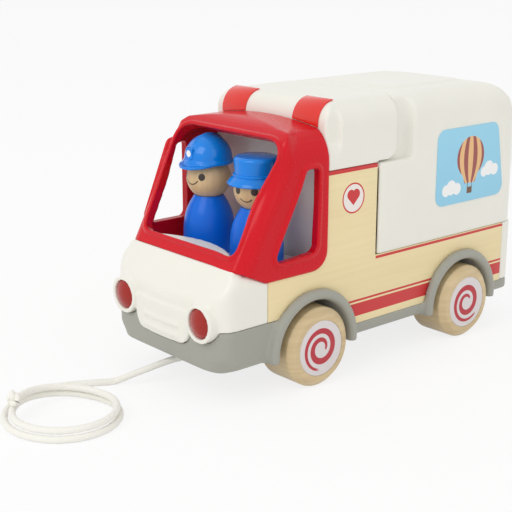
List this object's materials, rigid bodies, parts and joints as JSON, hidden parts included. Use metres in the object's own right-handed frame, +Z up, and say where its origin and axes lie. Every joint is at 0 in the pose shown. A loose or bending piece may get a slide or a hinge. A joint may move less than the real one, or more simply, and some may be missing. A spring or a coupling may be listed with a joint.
{
  "type": "toy ambulance",
  "caption": "Pull-along toy ambulance with rolling wooden wheels, an open red cab with turning peg figures, a sliding rear load cover and a coiled pull cord.",
  "frame": {"origin": "on the floor under the middle of the body, between the wheels", "axes": "+X to the vehicle's left side, +Y to its rear, +Z up"},
  "size_m": [0.124, 0.3772, 0.1727],
  "materials": {
    "white_plastic": "moulded, soft gloss",
    "red_plastic": "moulded, soft gloss",
    "grey_plastic": "moulded, satin",
    "pale_panel": "thin birch board, clear satin varnish with printed red lines",
    "wheel_wood": "turned beech, satin varnish",
    "disc_print": "printed disc with a red spiral",
    "axle_steel": "drawn rod",
    "bush_nylon": "moulded",
    "screw_steel": "zinc plated",
    "lamp_red": "polished dome",
    "strip_red": "printed strip",
    "window_blue": "printed label",
    "figure_blue": "turned wood, blue paint",
    "figure_wood": "turned wood, clear varnish",
    "hat_blue": "moulded, soft gloss",
    "cord_cotton": "braided"
  },
  "bodies": {
    "root": {"chassis": "grey_plastic", "nose_cover": "white_plastic", "cab_frame": "red_plastic", "cab_interior": "white_plastic", "bulkhead": "white_plastic", "front_roof": "white_plastic", "cargo_box": "white_plastic", "rear_panel": "white_plastic", "axle_bushes": "bush_nylon", "assembly_screws": "screw_steel", "cord_stop": "cord_cotton", "pull_cord": "cord_cotton", "cord_coil": "cord_cotton", "cord_knot": "cord_cotton", "headlight_left": "lamp_red", "side_panel_left": "pale_panel", "roof_light_left": "strip_red", "headlight_right": "lamp_red", "side_panel_right": "pale_panel", "roof_light_right": "strip_red"},
    "front_wheelset": {"front_axle": "axle_steel", "wheel_front_left": "wheel_wood", "wheel_front_right": "wheel_wood", "disc_front_left": "disc_print", "disc_front_right": "disc_print"},
    "rear_wheelset": {"rear_axle": "axle_steel", "wheel_rear_left": "wheel_wood", "wheel_rear_right": "wheel_wood", "disc_rear_left": "disc_print", "disc_rear_right": "disc_print"},
    "rear_cover": {"rear_cover": "white_plastic", "window_left": "window_blue", "window_right": "window_blue"},
    "driver": {"driver_body": "figure_blue", "driver_head": "figure_wood", "driver_helmet": "hat_blue"},
    "medic": {"medic_body": "figure_blue", "medic_head": "figure_wood", "medic_cap": "hat_blue"}
  },
  "joints": [
    {"name": "front_wheelset_spin", "type": "hinge", "parent": "root", "child": "front_wheelset", "pos_m": [0, -0.061, 0.025], "axis": [1, 0, 0], "continuous": true},
    {"name": "rear_wheelset_spin", "type": "hinge", "parent": "root", "child": "rear_wheelset", "pos_m": [0, 0.077, 0.025], "axis": [1, 0, 0], "continuous": true},
    {"name": "cover_slide", "type": "slide", "parent": "root", "child": "rear_cover", "axis": [0, 1, 0], "range_m": [0, 0.09]},
    {"name": "driver_turn", "type": "hinge", "parent": "root", "child": "driver", "pos_m": [-0.023, -0.079, 0.072], "axis": [0, 0, 1], "continuous": true},
    {"name": "medic_turn", "type": "hinge", "parent": "root", "child": "medic", "pos_m": [0.023, -0.079, 0.072], "axis": [0, 0, 1], "continuous": true}
  ]
}
